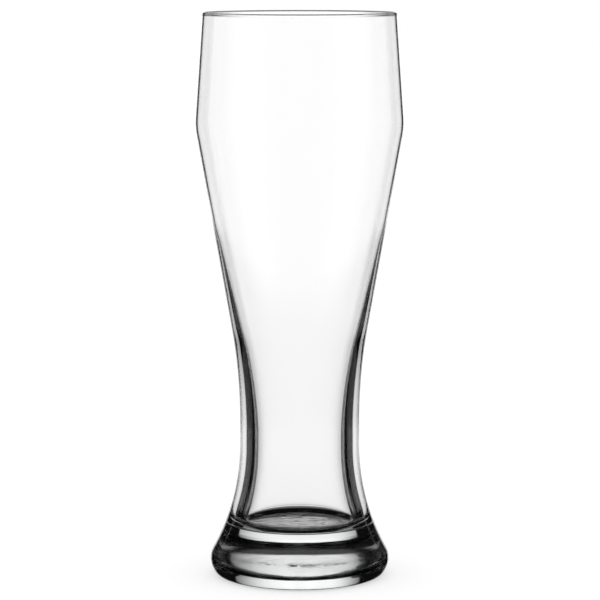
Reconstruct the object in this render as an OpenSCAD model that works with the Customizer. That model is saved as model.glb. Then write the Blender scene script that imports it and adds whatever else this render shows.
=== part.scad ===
// Tall wheat beer glass: a thin blown bowl whose thick rounded bottom is fused into
// the dished top of a heavy pressed foot. Millimetres, +Z up, origin on the ground
// in the middle of the foot.

/* [Rim] */
// Height of the whole glass
total_h = 228.7; // [205:0.1:260]
// Outer diameter of the rim
rim_d = 78; // [70:0.5:88]
// Glass thickness of the rim's fire-polished bead
rim_wall = 1.4; // [1.1:0.1:2.4]
// Radius of the lip, at most half the rim's thickness
lip_round = 0.7; // [0.2:0.1:1.2]
// Depth over which the bead thins to the wall below it
bead_drop = 2.5; // [1.5:0.1:6]
// Radius that eases the bead into that wall
bead_round = 4; // [1:0.5:10]
// Glass thickness just below the bead
upper_wall = 0.8; // [0.6:0.1:1.8]

/* [Belly] */
// Outer diameter where the belly's two slopes would meet
belly_d = 84.3; // [76:0.5:96]
// Depth of the belly's widest place below the rim
belly_drop = 45.6; // [36:0.2:60]
// Radius that rounds the belly from slope to slope
belly_round = 29; // [15:1:45]
// Glass thickness at the belly
belly_wall = 0.8; // [0.6:0.1:2]

/* [Taper] */
// Glass thickness part-way down the long taper
taper_wall = 1.1; // [0.9:0.1:2.4]
// Height where that thickness is taken
taper_wall_z = 142; // [125:1:155]
// Radius that eases the cavity's slope there
taper_round = 200; // [100:10:400]

/* [Waist] */
// Outer diameter of the waist
waist_d = 48.6; // [42:0.2:56]
// Height where the long taper meets the waist
waist_top_z = 82.8; // [74:0.2:96]
// Radius that rounds the long taper into the waist
waist_round = 216; // [100:2:260]
// Glass thickness at the waist
waist_wall = 6; // [4:0.1:8]
// Height where the cavity's own taper ends, lower than the waist outside
neck_top_z = 76; // [62:0.2:84]
// Radius that rounds the cavity's taper into its neck
neck_round = 186; // [60:2:240]

/* [Cavity floor] */
// Height where the cavity starts to widen towards its floor
neck_low_z = 40; // [36:0.2:48]
// Radius that rounds the cavity's neck into its lower flare
cavity_flare_round = 95; // [40:1:110]
// Diameter where the cavity's wall and floor would meet
floor_d = 47.6; // [42:0.2:49]
// Height of the cavity's floor above the ground
floor_z = 20; // [18.6:0.2:22]
// Radius of the cavity's bottom corner
floor_round = 3.2; // [2:0.2:6]
// Thickness of the bowl's own bottom, under the floor
bowl_floor_t = 5; // [3:0.2:7]

/* [Foot] */
// Outer diameter where the foot's flare and its lower edge would meet
foot_d = 74.8; // [68:0.2:84]
// Height of the foot's widest place
foot_widest_z = 7.2; // [5:0.1:10]
// Radius of the foot's widest edge
foot_round = 8; // [3:0.1:9]
// Diameter of the foot at the ground, before its edge is rounded
foot_rest_d = 67.8; // [60:0.2:72]
// Radius of the edge at the ground
ground_round = 4.5; // [1:0.1:6]
// Height where the foot's flare would leave the waist
flare_top_z = 31.2; // [26:0.2:40]
// Radius that rounds the flare into the waist
flare_round = 89; // [50:1:110]

/* [Seam and seat] */
// Height of the fused seam ring on the outside
seam_z = 22.6; // [19:0.2:27]
// Diameter of the flat middle of the foot's dished seat
seat_d = 44; // [36:0.5:50]
// Radius that rounds the seat's middle into its side
seat_round = 11; // [4:0.2:16]

/* [Underside] */
// Rise of the hollow under the foot, in its middle
punt_h = 1.5; // [0.5:0.1:3]
// Distance from the foot's ground diameter in to the edge of that hollow
rest_land = 6; // [4:0.2:9]

/* [Hidden] */
$fn = 144;
// Straight pieces that stand for each rounded stretch
arc_steps = 14;
// Part of a straight stretch that its two corners may use up
room_share = 0.98;
// Smallest size that counts, for comparing lengths
speck = 0.001;
// Smallest turn that counts as a corner, in degrees
turn_speck = 0.01;

rim_r = rim_d / 2;
rim_mid_r = rim_r - rim_wall / 2;
belly_r = belly_d / 2;
belly_z = total_h - belly_drop;
bead_z = total_h - bead_drop;
bead_r = rim_r + (belly_r - rim_r) * bead_drop / belly_drop;
waist_r = waist_d / 2;
foot_r = foot_d / 2;
foot_rest_r = foot_rest_d / 2;
seat_r = seat_d / 2;
seat_z = floor_z - bowl_floor_t;
punt_r = foot_rest_r - rest_land;

neck_r = waist_r - waist_wall;
floor_r = floor_d / 2;

// Radius of the outside's long taper at the height where its thickness is taken
taper_slope = (belly_r - waist_r) / (belly_z - waist_top_z);
taper_r = waist_r + (taper_wall_z - waist_top_z) * taper_slope;

// Unit direction from one profile point to the next
function toward(a, b) = (b - a) / norm(b - a);

// Turn that a profile makes at its corner i, in degrees
function turn(pts, i) = acos(min(1, toward(pts[i - 1], pts[i]) * toward(pts[i], pts[i + 1])));

// Length of straight that the rounding of corner i takes on each side
function need(pts, radii, i) =
    i < 1 || i > len(pts) - 2 ? 0 : radii[i] * tan(turn(pts, i) / 2);

// Share of corner i's radius that the stretch from point k to the next has room for
function stretch_room(pts, radii, k) =
    room_share * norm(pts[k + 1] - pts[k])
    / max(speck, need(pts, radii, k) + need(pts, radii, k + 1));

// Radius of corner i, less where its neighbours leave it no room
function fitted(pts, radii, i) =
    radii[i] * min(1, stretch_room(pts, radii, i - 1), stretch_room(pts, radii, i));

// Arc of radius r that starts along direction u and bends by an angle towards n
function arc(start, u, n, r, angle) =
    [for (k = [0 : arc_steps])
        let (s = angle * k / arc_steps)
        start + r * (sin(s) * u + (1 - cos(s)) * n)];

// Rounded corner i of a profile
function corner(pts, radii, i) =
    let (
        u = toward(pts[i - 1], pts[i]),
        v = toward(pts[i], pts[i + 1]),
        bend = turn(pts, i),
        r = fitted(pts, radii, i),
        n = (v - u * cos(bend)) / sin(bend)
    )
    arc(pts[i] - u * r * tan(bend / 2), u, n, r, bend);

// Whether point i of a profile stays a plain point
function plain(pts, i) = i == 0 || i == len(pts) - 1 || turn(pts, i) < turn_speck;

// Profile with every inner corner rounded; radii has one value for each point
function rounded(pts, radii) =
    [for (i = [0 : len(pts) - 1])
        each (plain(pts, i) ? [pts[i]] : corner(pts, radii, i))];

// Shallow cap from the axis at height h out to radius r at the ground
function cap(r, h) =
    let (ball = (r * r + h * h) / (2 * h), reach = asin(r / ball))
    [for (k = [0 : arc_steps])
        let (s = reach * k / arc_steps)
        [ball * sin(s), h - ball * (1 - cos(s))]];

function backwards(pts) = [for (i = [len(pts) - 1 : -1 : 0]) pts[i]];

// Outside of the glass, from the ground to the middle of the lip
outside = rounded(
    [
        [punt_r, 0],
        [foot_rest_r, 0],
        [foot_r, foot_widest_z],
        [waist_r, flare_top_z],
        [waist_r, waist_top_z],
        [belly_r, belly_z],
        [rim_r, total_h],
        [rim_mid_r, total_h]
    ],
    [0, ground_round, foot_round, flare_round, waist_round, belly_round, lip_round, 0]
);

// Inside of the glass, from the middle of the lip to the middle of the cavity floor
inside = rounded(
    [
        [rim_mid_r, total_h],
        [rim_r - rim_wall, total_h],
        [bead_r - upper_wall, bead_z],
        [belly_r - belly_wall, belly_z],
        [taper_r - taper_wall, taper_wall_z],
        [neck_r, neck_top_z],
        [neck_r, neck_low_z],
        [floor_r, floor_z],
        [0, floor_z]
    ],
    [
        0, lip_round, bead_round, belly_round - belly_wall, taper_round,
        neck_round, cavity_flare_round, floor_round, 0
    ]
);

// Radius of the outside at the seam
seam_r = lookup(seam_z, [for (p = outside) [p.y, p.x]]);

// Fused face between bowl and foot, from the axis out to the seam
seat = rounded([[0, seat_z], [seat_r, seat_z], [seam_r, seam_z]], [0, seat_round, 0]);

// Blown bowl: thin at the rim, thick at the waist, with its rounded bottom on the seat
module bowl() {
    color([0.86, 0.93, 0.94, 0.35])
    rotate_extrude()
    polygon(concat(
        seat,
        [for (p = outside) if (p.y > seam_z + speck) p],
        [for (i = [1 : len(inside) - 1]) inside[i]]
    ));
}

// Pressed foot: solid glass with a dished seat on top and a shallow hollow below
module foot() {
    color([0.76, 0.86, 0.88, 0.45])
    rotate_extrude()
    polygon(concat(
        cap(punt_r, punt_h),
        [for (i = [1 : len(outside) - 1]) if (outside[i].y < seam_z - speck) outside[i]],
        backwards(seat)
    ));
}

bowl();
foot();
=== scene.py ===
import math
import bpy
import numpy as np
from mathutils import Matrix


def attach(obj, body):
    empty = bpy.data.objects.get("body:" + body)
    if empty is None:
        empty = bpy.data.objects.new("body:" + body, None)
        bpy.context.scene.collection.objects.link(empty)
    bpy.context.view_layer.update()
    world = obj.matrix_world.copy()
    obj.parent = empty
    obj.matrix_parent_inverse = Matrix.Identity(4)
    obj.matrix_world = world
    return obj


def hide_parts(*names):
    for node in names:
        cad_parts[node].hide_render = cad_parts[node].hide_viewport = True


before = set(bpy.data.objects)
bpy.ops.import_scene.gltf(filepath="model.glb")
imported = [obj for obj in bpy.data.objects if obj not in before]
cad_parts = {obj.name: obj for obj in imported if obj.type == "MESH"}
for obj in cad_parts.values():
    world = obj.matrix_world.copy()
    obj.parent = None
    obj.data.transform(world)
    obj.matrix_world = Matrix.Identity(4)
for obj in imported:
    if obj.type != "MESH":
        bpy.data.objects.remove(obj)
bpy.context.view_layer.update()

# Sizes of the glass, in metres
MM = 0.001
TOTAL_H = 228.7 * MM

# Rim
RIM_R = 39.0 * MM
RIM_WALL = 1.1 * MM
LIP_ROUND = 0.55 * MM
BEAD_DROP = 1.3 * MM
BEAD_ROUND = 1.5 * MM
UPPER_WALL = 0.8 * MM

# Belly
BELLY_R = 42.15 * MM
BELLY_DROP = 45.6 * MM
BELLY_ROUND = 29.0 * MM
BELLY_WALL = 0.8 * MM

# Long taper
TAPER_WALL = 1.1 * MM
TAPER_WALL_Z = 142.0 * MM
TAPER_ROUND = 200.0 * MM

# Waist, and the neck of the cavity inside it
WAIST_R = 24.3 * MM
WAIST_TOP_Z = 82.8 * MM
WAIST_ROUND = 216.0 * MM
WAIST_WALL = 6.0 * MM
NECK_TOP_Z = 76.0 * MM
NECK_ROUND = 186.0 * MM
NECK_LOW_Z = 40.0 * MM
CAVITY_FLARE_ROUND = 95.0 * MM

# Cavity floor
FLOOR_R = 23.8 * MM
FLOOR_Z = 20.0 * MM
FLOOR_ROUND = 3.2 * MM
BOWL_FLOOR_T = 5.0 * MM

# Foot
FOOT_R = 37.4 * MM
FOOT_WIDEST_Z = 7.2 * MM
FOOT_ROUND = 8.0 * MM
FOOT_REST_R = 33.9 * MM
GROUND_ROUND = 4.5 * MM
FLARE_TOP_Z = 31.2 * MM
FLARE_ROUND = 89.0 * MM

# Seam and seat
SEAM_Z = 22.6 * MM
SEAT_R = 22.0 * MM
SEAT_ROUND = 11.0 * MM
# Softened edge on each side of the seam ring
SEAM_SOFT = 0.4 * MM
# Gap between the fused faces, so that they don't lie in one plane
HAIR_GAP = 0.02 * MM

# Underside
PUNT_H = 1.5 * MM
REST_LAND = 6.0 * MM
PUNT_R = FOOT_REST_R - REST_LAND

# Mesh: points on each rounded corner, segments round the axis, longest step of a profile
ARC_POINTS = 20
AROUND = 192
STEP = 1.5 * MM
# Part of a straight stretch that its two corners may use up
ROOM_SHARE = 0.98
# Lengths below this count as nothing
SPECK = 1e-9
# Points of the outside this close to the seam make way for it
SEAM_REACH = 0.001 * MM

# Finishes: how far the lip's painted dark line reaches down, and where the scuffed one, with its
# painted shade, ends
LIP_DEPTH = 1.1 * LIP_ROUND
SCUFFED_SHADED_END_R = PUNT_R + 2.5 * MM
SCUFFED_SHADED_END_Z = 2.0 * MM
# Radius on the underside from which the scuffs get denser
SCUFF_FROM = 5.0 * MM

# Slots for materials on each piece
FUSED_SLOT = 1
THIRD_SLOT = 2
# A ring of faces is fused where its two profile points are this surely on the seat
SURE = 0.999

# Refractive index of soda-lime glass
GLASS_IOR = 1.52


def toward(a, b):
    """Unit direction from one profile point to the next."""
    return (b - a) / np.linalg.norm(b - a)


def turn(pts, i):
    """Angle by which a profile turns at its point i."""
    return math.acos(min(1.0, toward(pts[i - 1], pts[i]) @ toward(pts[i], pts[i + 1])))


def rounded(pts, radii):
    """Profile with a circular arc at each inner point. The arc starts r tan(turn/2)
    before the corner and is start + r sin(s) u + r (1 - cos(s)) n, for s from 0 to
    the turn, with u the way in and n square to u on the side it turns to. A radius
    that its neighbours leave no room for gets smaller."""
    pts = np.array(pts, float)
    last = len(pts) - 1
    need = [0.0] + [radii[i] * math.tan(turn(pts, i) / 2) for i in range(1, last)] + [0.0]
    length = np.linalg.norm(np.diff(pts, axis=0), axis=1)
    room = [ROOM_SHARE * length[k] / max(SPECK, need[k] + need[k + 1]) for k in range(last)]
    out = [pts[:1]]
    for i in range(1, last):
        r = radii[i] * min(1.0, room[i - 1], room[i])
        u, v = toward(pts[i - 1], pts[i]), toward(pts[i], pts[i + 1])
        bend = turn(pts, i)
        n = (v - u * math.cos(bend)) / math.sin(bend)
        s = np.linspace(0.0, bend, ARC_POINTS)[:, None]
        start = pts[i] - u * r * math.tan(bend / 2)
        out.append(start + r * (np.sin(s) * u + (1 - np.cos(s)) * n))
    out.append(pts[-1:])
    return np.concatenate(out)


def filled(path):
    """Profile with points added by straight lines, so that none lie further apart
    than STEP."""
    out = [path[:1]]
    for a, b in zip(path[:-1], path[1:]):
        n = max(1, math.ceil(np.linalg.norm(b - a) / STEP))
        out.append(a + (b - a) * (np.arange(1, n + 1) / n)[:, None])
    return np.concatenate(out)


def way_along(path):
    """Distance along a profile from its start to each of its points."""
    return np.cumsum(np.r_[0, np.linalg.norm(np.diff(path, axis=0), axis=1)])


def glass_paths():
    """Outside from the ground to the lip, inside from the lip to the cavity floor, and
    the fused seat from the axis to the seam, each as radius and height: straight
    stretches between corners that rounded turns into arcs."""
    mid_r = RIM_R - RIM_WALL / 2
    belly_z = TOTAL_H - BELLY_DROP
    neck_r = WAIST_R - WAIST_WALL
    bead_r = RIM_R + (BELLY_R - RIM_R) * BEAD_DROP / BELLY_DROP
    slope = (BELLY_R - WAIST_R) / (belly_z - WAIST_TOP_Z)
    taper_r = WAIST_R + (TAPER_WALL_Z - WAIST_TOP_Z) * slope
    outside = rounded(
        [(PUNT_R, 0), (FOOT_REST_R, 0), (FOOT_R, FOOT_WIDEST_Z),
         (WAIST_R, FLARE_TOP_Z), (WAIST_R, WAIST_TOP_Z), (BELLY_R, belly_z),
         (RIM_R, TOTAL_H), (mid_r, TOTAL_H)],
        [0, GROUND_ROUND, FOOT_ROUND, FLARE_ROUND, WAIST_ROUND, BELLY_ROUND, LIP_ROUND, 0],
    )
    inside = rounded(
        [(mid_r, TOTAL_H), (RIM_R - RIM_WALL, TOTAL_H), (bead_r - UPPER_WALL, TOTAL_H - BEAD_DROP),
         (BELLY_R - BELLY_WALL, belly_z), (taper_r - TAPER_WALL, TAPER_WALL_Z),
         (neck_r, NECK_TOP_Z), (neck_r, NECK_LOW_Z), (FLOOR_R, FLOOR_Z), (0, FLOOR_Z)],
        [0, LIP_ROUND, BEAD_ROUND, BELLY_ROUND - BELLY_WALL, TAPER_ROUND, NECK_ROUND,
         CAVITY_FLARE_ROUND, FLOOR_ROUND, 0],
    )
    k = int(np.argmax(outside[:, 1] > SEAM_Z))
    (r0, z0), (r1, z1) = outside[k - 1], outside[k]
    seam = (r0 + (r1 - r0) * (SEAM_Z - z0) / (z1 - z0), SEAM_Z)
    seat_z = FLOOR_Z - BOWL_FLOOR_T
    seat = rounded([(0, seat_z), (SEAT_R, seat_z), seam], [0, SEAT_ROUND, 0])
    return outside, inside, seat


def hollow_path():
    """Shallow hollow of the underside, from the axis out to PUNT_R at the ground: an arc
    of a ball of radius (PUNT_R^2 + PUNT_H^2) / (2 PUNT_H)."""
    ball = (PUNT_R**2 + PUNT_H**2) / (2 * PUNT_H)
    sweep = np.linspace(0, math.asin(PUNT_R / ball), ARC_POINTS)
    return np.stack([ball * np.sin(sweep), PUNT_H - ball * (1 - np.cos(sweep))], axis=1)


def on_lip(r, z):
    """Points that carry the lip's painted shade."""
    return z > TOTAL_H - LIP_DEPTH


def on_underside(r, z):
    """Points that carry the scuffed finish and its painted shade."""
    return (r < SCUFFED_SHADED_END_R) & (z < SCUFFED_SHADED_END_Z)


def ring_slots(fused, third):
    """Material slot of each face of a lathed piece, from two flags at each profile point:
    first the bands between two rings, then the fans that close the two poles."""
    bands = np.where(third[1:-2] & third[2:-1], THIRD_SLOT, FUSED_SLOT * (fused[1:-2] & fused[2:-1]))
    ends = [np.where(third[a] & third[b], THIRD_SLOT, FUSED_SLOT * (fused[a] & fused[b]))
            for a, b in ((0, 1), (-1, -2))]
    return np.repeat(np.r_[bands, ends], AROUND).tolist()


def lathe(name, path, seat_points, on_third):
    """Solid of revolution of a closed profile from axis to axis: point i at angle t is
    (r cos t, r sin t, z). Faces between two of seat_points get the second material, and
    faces where on_third, given radius and height, is true get the third."""
    dense = filled(path)
    mark = [np.min(np.linalg.norm(seat_points - p, axis=1)) < SPECK for p in path]
    fused = np.interp(way_along(dense), way_along(path), np.array(mark, float)) > SURE
    ring = dense[1:-1]
    t = np.arange(AROUND) * (2 * math.pi / AROUND)
    grid = np.stack(
        [ring[:, :1] * np.cos(t), ring[:, :1] * np.sin(t), ring[:, 1:] + 0 * t], axis=-1
    )
    verts = np.concatenate([grid.reshape(-1, 3), [[0, 0, dense[0, 1]], [0, 0, dense[-1, 1]]]])
    n = len(ring)
    i, j = np.meshgrid(np.arange(n - 1), np.arange(AROUND), indexing="ij")
    k = (j + 1) % AROUND
    quads = np.stack(
        [i * AROUND + j, i * AROUND + k, (i + 1) * AROUND + k, (i + 1) * AROUND + j], axis=-1
    ).reshape(-1, 4)
    a = np.arange(AROUND)
    b = (a + 1) % AROUND
    low, high = n * AROUND, n * AROUND + 1
    fan_low = np.stack([b, a, 0 * a + low], axis=-1)
    top = (n - 1) * AROUND
    fan_high = np.stack([top + a, top + b, 0 * a + high], axis=-1)
    mesh = bpy.data.meshes.new(name)
    mesh.from_pydata(verts.tolist(), [], quads.tolist() + fan_low.tolist() + fan_high.tolist())
    slots = ring_slots(fused, on_third(dense[:, 0], dense[:, 1]))
    mesh.polygons.foreach_set("material_index", slots)
    mesh.polygons.foreach_set("use_smooth", [True] * len(mesh.polygons))
    mesh.update()
    obj = bpy.data.objects.new(name, mesh)
    bpy.context.scene.collection.objects.link(obj)
    return obj


def linear(hex_text):
    """Linear RGB and alpha 1 of an sRGB hex colour."""
    c = np.array([int(hex_text[k : k + 2], 16) / 255 for k in (1, 3, 5)])
    c = np.where(c <= 0.04045, c / 12.92, ((c + 0.055) / 1.055) ** 2.4)
    return (*c.tolist(), 1.0)


def new_material(name):
    """Material with an empty node tree; returns both."""
    mat = bpy.data.materials.new(name)
    mat.use_nodes = True
    mat.node_tree.nodes.clear()
    return mat, mat.node_tree


def add(tree, kind, **given):
    """Adds a node. A key that is a socket's name, with _ for a space, or in and the
    socket's number, gets a value or a link; any other key is a setting of the node."""
    node = tree.nodes.new(kind)
    for key, value in given.items():
        if key.startswith("in") and key[2:].isdigit():
            socket = node.inputs[int(key[2:])]
        else:
            socket = node.inputs.get(key.replace("_", " "))
        if socket is None:
            setattr(node, key, value)
        elif isinstance(value, bpy.types.NodeSocket):
            tree.links.new(value, socket)
        else:
            socket.default_value = value
    return node


def glass_material(name, clear, waves):
    """Clear soda-lime glass with a bright polish. clear is what it passes, as sRGB.
    waves lists the soft waves that its making leaves in the skin, each as its length,
    its height, and the two heights z between which it grows from none to full. They
    bend what is seen through it into streaks."""
    mat, tree = new_material(name)
    place = add(tree, "ShaderNodeTexCoord").outputs["Object"]
    z = add(tree, "ShaderNodeSeparateXYZ", Vector=place).outputs["Z"]
    total = None
    for long, tall, z_none, z_full in waves:
        noise = add(tree, "ShaderNodeTexNoise", Vector=place, Scale=1 / long, Detail=2.0)
        grown = add(tree, "ShaderNodeMapRange", Value=z, From_Min=z_none, From_Max=z_full, To_Max=tall)
        wave = add(tree, "ShaderNodeMath", operation="MULTIPLY", in0=noise.outputs["Fac"],
                   in1=grown.outputs["Result"]).outputs[0]
        if total is not None:
            wave = add(tree, "ShaderNodeMath", operation="ADD", in0=total, in1=wave).outputs[0]
        total = wave
    skin = add(tree, "ShaderNodeBump", Height=total, Distance=1.0)
    shell = add(tree, "ShaderNodeBsdfPrincipled", Base_Color=linear(clear), Roughness=0.0,
                IOR=GLASS_IOR, Transmission_Weight=1.0, Normal=skin.outputs["Normal"])
    add(tree, "ShaderNodeOutputMaterial", Surface=shell.outputs["BSDF"])
    return mat


def lip_material():
    """Fire-polished lip with painted shade: light that gets into this thin ring runs on round
    it, so that little comes out to the eye and the lip draws a fine dark line, which the
    grey tint paints. A slow noise along it leaves the painted line a little uneven, as the
    flame does."""
    uneven = 12 * MM
    # Grey tints that paint the lip's dark line as shade
    dark, pale = linear("#7C7F7E"), linear("#A2A5A4")
    mat, tree = new_material("soda_lime_glass_fire_polished_lip")
    place = add(tree, "ShaderNodeTexCoord").outputs["Object"]
    slow = add(tree, "ShaderNodeTexNoise", Vector=place, Scale=1 / uneven, Detail=2.0)
    tint = add(tree, "ShaderNodeMix", data_type="RGBA", Factor=slow.outputs["Fac"], in6=dark, in7=pale)
    shell = add(tree, "ShaderNodeBsdfPrincipled", Base_Color=tint.outputs[2], Roughness=0.0,
                IOR=GLASS_IOR, Transmission_Weight=1.0)
    add(tree, "ShaderNodeOutputMaterial", Surface=shell.outputs["BSDF"])
    return mat


def worn_and_shaded_material():
    """Underside of the foot: the same glass with the soft waves of the press, scuffed by
    shelves and tables. Single scuffs are hair-fine, too fine to show, so only the clouds
    that they gather in are drawn, as a roughness that goes up and down. They get denser
    from SCUFF_FROM out to the ring that touches the table. The dark grey base colour is
    painted shade: a painted reflection of the dark ground that such a base mirrors, which
    darkens the haze of the scuffs."""
    cloud_size, wave_size, wave_height = 6.25 * MM, 7.69 * MM, 0.2 * MM
    cloud_from, cloud_to = 0.35, 0.7
    haze_from, haze_to = 0.04, 0.16
    rubbed_to = 0.1
    see_through = 0.72
    mat, tree = new_material("soda_lime_glass_scuffed")
    place = add(tree, "ShaderNodeTexCoord").outputs["Object"]
    cloud = add(tree, "ShaderNodeTexNoise", Vector=place, Scale=1 / cloud_size, Detail=6.0)
    haze = add(tree, "ShaderNodeMapRange", Value=cloud.outputs["Fac"], From_Min=cloud_from,
               From_Max=cloud_to, To_Min=haze_from, To_Max=haze_to)
    flat = add(tree, "ShaderNodeVectorMath", operation="MULTIPLY", in0=place, in1=(1, 1, 0))
    out_r = add(tree, "ShaderNodeVectorMath", operation="LENGTH", in0=flat.outputs["Vector"])
    rubbed = add(tree, "ShaderNodeMapRange", Value=out_r.outputs["Value"], From_Min=SCUFF_FROM,
                 From_Max=PUNT_R, To_Min=0.0, To_Max=rubbed_to)
    rough = add(tree, "ShaderNodeMath", operation="ADD", in0=haze.outputs["Result"],
                in1=rubbed.outputs["Result"])
    slow = add(tree, "ShaderNodeTexNoise", Vector=place, Scale=1 / wave_size, Detail=4.0)
    tall = add(tree, "ShaderNodeMath", operation="MULTIPLY", in0=slow.outputs["Fac"], in1=wave_height)
    skin = add(tree, "ShaderNodeBump", Height=tall.outputs[0], Distance=1.0)
    # Dark grey base colour: painted shade, a painted reflection of dark ground
    shell = add(tree, "ShaderNodeBsdfPrincipled", Base_Color=linear("#4A4E4C"), IOR=GLASS_IOR,
                Roughness=rough.outputs[0], Transmission_Weight=see_through,
                Normal=skin.outputs["Normal"])
    add(tree, "ShaderNodeOutputMaterial", Surface=shell.outputs["BSDF"])
    return mat


def fused_material():
    """Fused glass to glass face: nothing bends or mirrors light where the two are one."""
    mat, tree = new_material("fused_glass_face")
    clear = add(tree, "ShaderNodeBsdfTransparent")
    add(tree, "ShaderNodeOutputMaterial", Surface=clear.outputs["BSDF"])
    return mat


def finish(piece, materials, node):
    """Gives a piece its materials, makes it ride on the root, and hides the imported part that it
    takes the place of.
    """
    for mat in materials:
        piece.data.materials.append(mat)
    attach(piece, "root")
    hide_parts(node)


outside, inside, seat = glass_paths()
above = outside[outside[:, 1] > SEAM_Z + SEAM_REACH]
below = outside[outside[:, 1] < SEAM_Z - SEAM_REACH]
fused = fused_material()

# Blown bowl. Its cavity's floor keeps slow and fine ripples from the making, which fade
# out just above the floor.
FADE_LOW = FLOOR_Z + 0.1 * MM
FADE_HIGH = FLOOR_Z + 0.6 * MM
SLOW_RIPPLE, SLOW_RIPPLE_H = 6.67 * MM, 0.7 * MM
FINE_RIPPLE, FINE_RIPPLE_H = 2.38 * MM, 0.16 * MM
blown = glass_material(
    "soda_lime_glass_blown", "#FFFFFF",
    [(SLOW_RIPPLE, SLOW_RIPPLE_H, FADE_HIGH, FADE_LOW),
     (FINE_RIPPLE, FINE_RIPPLE_H, FADE_HIGH, FADE_LOW)],
)
bowl_edge = rounded([seat[-2], seat[-1], above[0]], [0, SEAM_SOFT, 0])[1:]
bowl_path = np.concatenate([seat[:-1], bowl_edge, above[1:], inside[1:]])
bowl_seat = np.concatenate([seat[:-1], bowl_edge[:1]])
bowl = lathe("blown_bowl", bowl_path, bowl_seat, on_lip)
finish(bowl, [blown, fused, lip_material()], "bowl")

# Pressed foot. The mould leaves long low waves in its thick glass, below the seam.
MOULD_WAVE, MOULD_WAVE_H = 11.1 * MM, 0.06 * MM
MOULD_WAVE_DROP = 6 * MM
pressed = glass_material(
    "soda_lime_glass_pressed", "#F2F4F3",
    [(MOULD_WAVE, MOULD_WAVE_H, SEAM_Z, SEAM_Z - MOULD_WAVE_DROP)],
)
seat_down = seat - (0, HAIR_GAP)
foot_edge = rounded([below[-1], seat_down[-1], seat_down[-2]], [0, SEAM_SOFT, 0])[1:-1]
foot_path = np.concatenate([hollow_path(), below[1:], foot_edge, seat_down[-2::-1]])
foot_seat = np.concatenate([seat_down[:-1], foot_edge[-1:]])
foot = lathe("pressed_foot", foot_path, foot_seat, on_underside)
finish(foot, [pressed, fused, worn_and_shaded_material()], "foot")

# Camera: solved from the rim and foot ellipses of the photograph
CAM_ASIDE = 0.14 * MM
CAM_DISTANCE = 1160 * MM
CAM_HEIGHT = 254.83 * MM
CAM_TILT = math.radians(6.9855)
CAM_LENS = 173.19
SENSOR_WIDTH = 36
lens = bpy.data.cameras.new("camera")
lens.lens = CAM_LENS
lens.sensor_width = SENSOR_WIDTH
camera = bpy.data.objects.new("camera", lens)
camera.location = (CAM_ASIDE, -CAM_DISTANCE, CAM_HEIGHT)
camera.rotation_euler = (math.pi / 2 - CAM_TILT, 0, 0)
bpy.context.scene.collection.objects.link(camera)
bpy.context.scene.camera = camera
bpy.context.view_layer.update()

WHITE = linear("#FFFFFF")

# Pale floor: grey paper that keeps the glass's shadow, lifted to white by its own glow
FLOOR_HALF = 6.0
PAPER = linear("#BCBCBC")
PAPER_GLOW = 0.58
mesh = bpy.data.meshes.new("floor")
corners = [(FLOOR_HALF * x, FLOOR_HALF * y, 0) for x, y in ((-1, -1), (1, -1), (1, 1), (-1, 1))]
mesh.from_pydata(corners, [], [(0, 1, 2, 3)])
floor = bpy.data.objects.new("floor", mesh)
bpy.context.scene.collection.objects.link(floor)
mat, tree = new_material("pale_floor")
paper = add(tree, "ShaderNodeBsdfDiffuse", Color=PAPER)
glow = add(tree, "ShaderNodeEmission", Color=WHITE, Strength=PAPER_GLOW)
both = add(tree, "ShaderNodeAddShader", in0=paper.outputs[0], in1=glow.outputs[0])
add(tree, "ShaderNodeOutputMaterial", Surface=both.outputs[0])
mesh.materials.append(mat)
floor.visible_glossy = False
floor.visible_transmission = False

# Studio light: surfaces that glow by a level at each of their points
cloth, tree = new_material("studio_cloth")
read = add(tree, "ShaderNodeAttribute", attribute_name="glow_level")
glow = add(tree, "ShaderNodeEmission", Color=WHITE, Strength=read.outputs["Fac"])
add(tree, "ShaderNodeOutputMaterial", Surface=glow.outputs[0])
# What dark cloth still gives off
DARK = 0.004


def soft(x, edge, blur):
    """1 inside edge, 0 outside, with a smooth step of width blur on the edge."""
    s = np.clip((edge + blur / 2 - x) / blur, 0, 1)
    return s * s * (3 - 2 * s)


def glowing(name, verts, wrap, level):
    """Grid of points (rows, columns, xyz) as a surface that glows by level; wrap closes
    its rows into rings. Rides with the camera and is seen only in the glass."""
    rows, cols = verts.shape[:2]
    i, j = np.meshgrid(np.arange(rows - 1), np.arange(cols if wrap else cols - 1), indexing="ij")
    k = (j + 1) % cols
    faces = np.stack([i * cols + j, i * cols + k, (i + 1) * cols + k, (i + 1) * cols + j], axis=-1)
    mesh = bpy.data.meshes.new(name)
    mesh.from_pydata(verts.reshape(-1, 3).tolist(), [], faces.reshape(-1, 4).tolist())
    glow_level = mesh.attributes.new("glow_level", "FLOAT", "POINT")
    glow_level.data.foreach_set("value", level.reshape(-1).astype(np.float32))
    mesh.materials.append(cloth)
    obj = bpy.data.objects.new(name, mesh)
    bpy.context.scene.collection.objects.link(obj)
    obj.visible_camera = False
    obj.visible_diffuse = False
    obj.visible_shadow = False
    obj.parent = camera
    obj.matrix_parent_inverse = camera.matrix_world.inverted()


# Tent: a dark shell round the glass, with one bright panel behind it and a soft light
# above it. Places on it are in degrees, to the right of the middle behind the glass and
# up; each edge is given with the width of its blur, as soft takes them.
TENT_R = 1.05
TENT_MID = (0, 0, 0.11)
TENT_STEP_A = 0.75
TENT_STEP_E = 1.0
# Brightness of the panel, and its top edge
PANEL = 1.11
PANEL_TOP = (13.2, 4)
# Sides of the panel, with another pair below the height LOW
LOW = (-12, 2)
LEFT = (24.5, 24)
RIGHT = (25, 36)
LEFT_LOW = (29, 36)
RIGHT_LOW = (32, 44)
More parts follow.
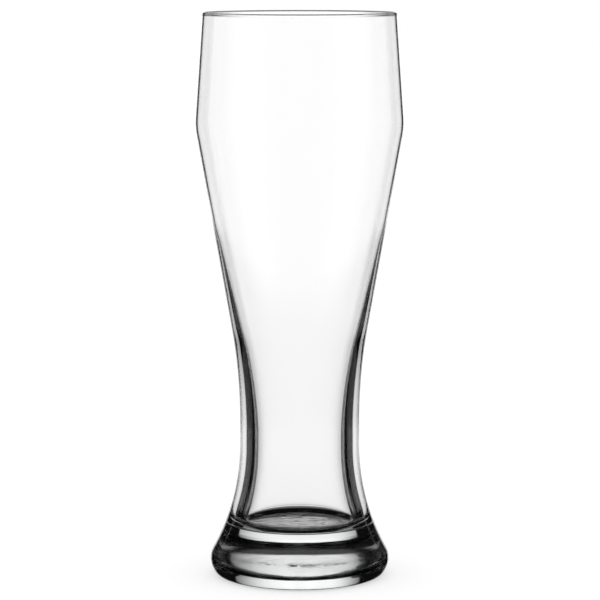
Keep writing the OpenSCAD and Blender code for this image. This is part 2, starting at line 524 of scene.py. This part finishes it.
# Ends of the panel, where it has nearly faded out: on the right, and on the left, where
# it is shorter above SHORT_FROM
RIGHT_END = (33.6, 1.5)
LEFT_END, LEFT_END_BLUR = 30.4, 1.5
SHORT_BY = 4.2
SHORT_FROM = (-4.5, 3)
# Lower down a part of the light ends early and the rest fades out slowly
EARLY_SHARE = 0.33
EARLY_END = (20, 6)
SLOW_END = (29, 38)
# Above LIFT_LOW the panel is a little brighter, and twice as much so in two stripes
# beside the middle
LIFT = 0.045
LIFT_LOW = (10, 3)
STRIPE_OUT = (7, 4)
STRIPE_IN = (-2, 2)
# Faint light on the shell above the panel, and the soft light above that
FAINT, FAINT_TOP, FAINT_SIDE = 0.08, (36, 10), (30, 10)
OVERHEAD, OVER_LOW, OVER_TOP, OVER_SIDE = 0.45, (-42, 6), (66, 12), (24, 12)

A, E = np.meshgrid(
    np.radians(np.arange(0, 360, TENT_STEP_A)),
    np.radians(np.arange(TENT_STEP_E - 90, 90, TENT_STEP_E)),
)
tent = np.stack([np.sin(A) * np.cos(E), np.cos(A) * np.cos(E), np.sin(E)], axis=-1)
right = (np.degrees(A) + 180) % 360 - 180
up = np.degrees(E)
aside = np.abs(right)
low = soft(up, *LOW)
spread = soft(-right, *LEFT) * soft(right, *RIGHT)
spread_low = soft(-right, *LEFT_LOW) * soft(right, *RIGHT_LOW)
fade = EARLY_SHARE * soft(-up, *EARLY_END) + (1 - EARLY_SHARE) * soft(-up, *SLOW_END)
panel = PANEL * (low * spread_low + (1 - low) * spread) * fade * soft(up, *PANEL_TOP)
stripes = soft(aside, *STRIPE_OUT) + soft(-aside, *STRIPE_IN)
panel = panel * (1 + LIFT * soft(-up, *LIFT_LOW) * stripes)
left_end = LEFT_END - SHORT_BY * soft(-up, *SHORT_FROM)
panel = panel * soft(right, *RIGHT_END) * soft(-right, left_end, LEFT_END_BLUR)
faint = FAINT * soft(up, *FAINT_TOP) * soft(aside, *FAINT_SIDE) * (up > 0)
over = OVERHEAD * soft(-up, *OVER_LOW) * soft(up, *OVER_TOP) * soft(aside, *OVER_SIDE)
level = np.maximum.reduce([panel, faint, over]) + DARK
glowing("studio_tent", TENT_R * tent + np.array(TENT_MID), True, level)

# Flags: dark cards close behind the glass, one at each side, which draw its edges dark.
# They are narrow beside the bowl, where pale board shows past them, and wide lower down.
# Each edge is given with the width of its blur, as soft takes them.
FLAG_Y = 152 * MM
FLAG_X, FLAG_WIDTH = 96 * MM, 500 * MM
FLAG_LOW, FLAG_TOP = -300 * MM, 600 * MM
FLAG_COLS, FLAG_ROWS = 201, 91
# Above IN_FROM the flags reach further in
FLAG_IN = 15 * MM
IN_FROM = (-125 * MM, 30 * MM)
# Pale boards: their inner edge moves out below BOARD_KINK_Z, and they end at a top, at
# an outer side and at a low edge, which drops further out
BOARD = 0.6
BOARD_X, BOARD_LEAN, BOARD_KINK_Z = 126 * MM, 0.25, 125 * MM
BOARD_BLUR = 22 * MM
BOARD_OUT = (330 * MM, 340 * MM)
BOARD_TOP = (260 * MM, 40 * MM)
BOARD_LOW, BOARD_LOW_BLUR = -80 * MM, 50 * MM
BOARD_DROP = 35 * MM
DROP_FROM = (-200 * MM, 60 * MM)
# Faint light on the flags themselves, beside the waist
SHEEN = 0.028
SHEEN_OUT = (210 * MM, 50 * MM)
SHEEN_LOW = (-50 * MM, 20 * MM)
SHEEN_TOP = (120 * MM, 80 * MM)
# Lower cards: dark too, lying at each side above the foot, to keep the boards' light out.
# Behind the glass their inner edge leans out.
CARD_Z = 55 * MM
CARD_X, CARD_LEAN, CARD_OUT = 45 * MM, 0.4, 600 * MM
CARD_FRONT = -250 * MM
CARD_COLS, CARD_ROWS = 9, 17

for side, word in ((-1, "left"), (1, "right")):
    X, Z = np.meshgrid(
        FLAG_X + np.linspace(0, FLAG_WIDTH, FLAG_COLS), np.linspace(FLAG_LOW, FLAG_TOP, FLAG_ROWS)
    )
    X = X - FLAG_IN * soft(-Z, *IN_FROM)
    inner = BOARD_X + BOARD_LEAN * np.maximum(0, BOARD_KINK_Z - Z)
    board_low = BOARD_LOW + BOARD_DROP * soft(-X, *DROP_FROM)
    board = BOARD * soft(inner - X, 0, BOARD_BLUR) * soft(X, *BOARD_OUT)
    board = board * soft(-Z, board_low, BOARD_LOW_BLUR) * soft(Z, *BOARD_TOP)
    sheen = SHEEN * soft(X, *SHEEN_OUT) * soft(-Z, *SHEEN_LOW) * soft(Z, *SHEEN_TOP)
    flag = np.stack([side * X, FLAG_Y + 0 * X, Z], axis=-1)
    glowing("flag_" + word, flag, False, DARK + board + sheen)
    share, Y = np.meshgrid(
        np.linspace(0, 1, CARD_COLS), np.linspace(CARD_FRONT, FLAG_Y, CARD_ROWS)
    )
    inner = CARD_X + CARD_LEAN * np.maximum(0, Y)
    card = np.stack([side * (inner + share * (CARD_OUT - inner)), Y, CARD_Z + 0 * Y], axis=-1)
    glowing("card_" + word, card, False, DARK + 0 * Y)

# World: plain white
world = bpy.data.worlds.new("white_studio")
bpy.context.scene.world = world
world.use_nodes = True
tree = world.node_tree
tree.nodes.clear()
white = add(tree, "ShaderNodeBackground", Color=WHITE, Strength=1.0)
add(tree, "ShaderNodeOutputWorld", Surface=white.outputs[0])

# Light goes through many glass faces before it gets out
scene = bpy.context.scene
scene.view_settings.view_transform = "Standard"
scene.cycles.max_bounces = 32
scene.cycles.transmission_bounces = 32
scene.cycles.glossy_bounces = 12
scene.cycles.transparent_max_bounces = 32
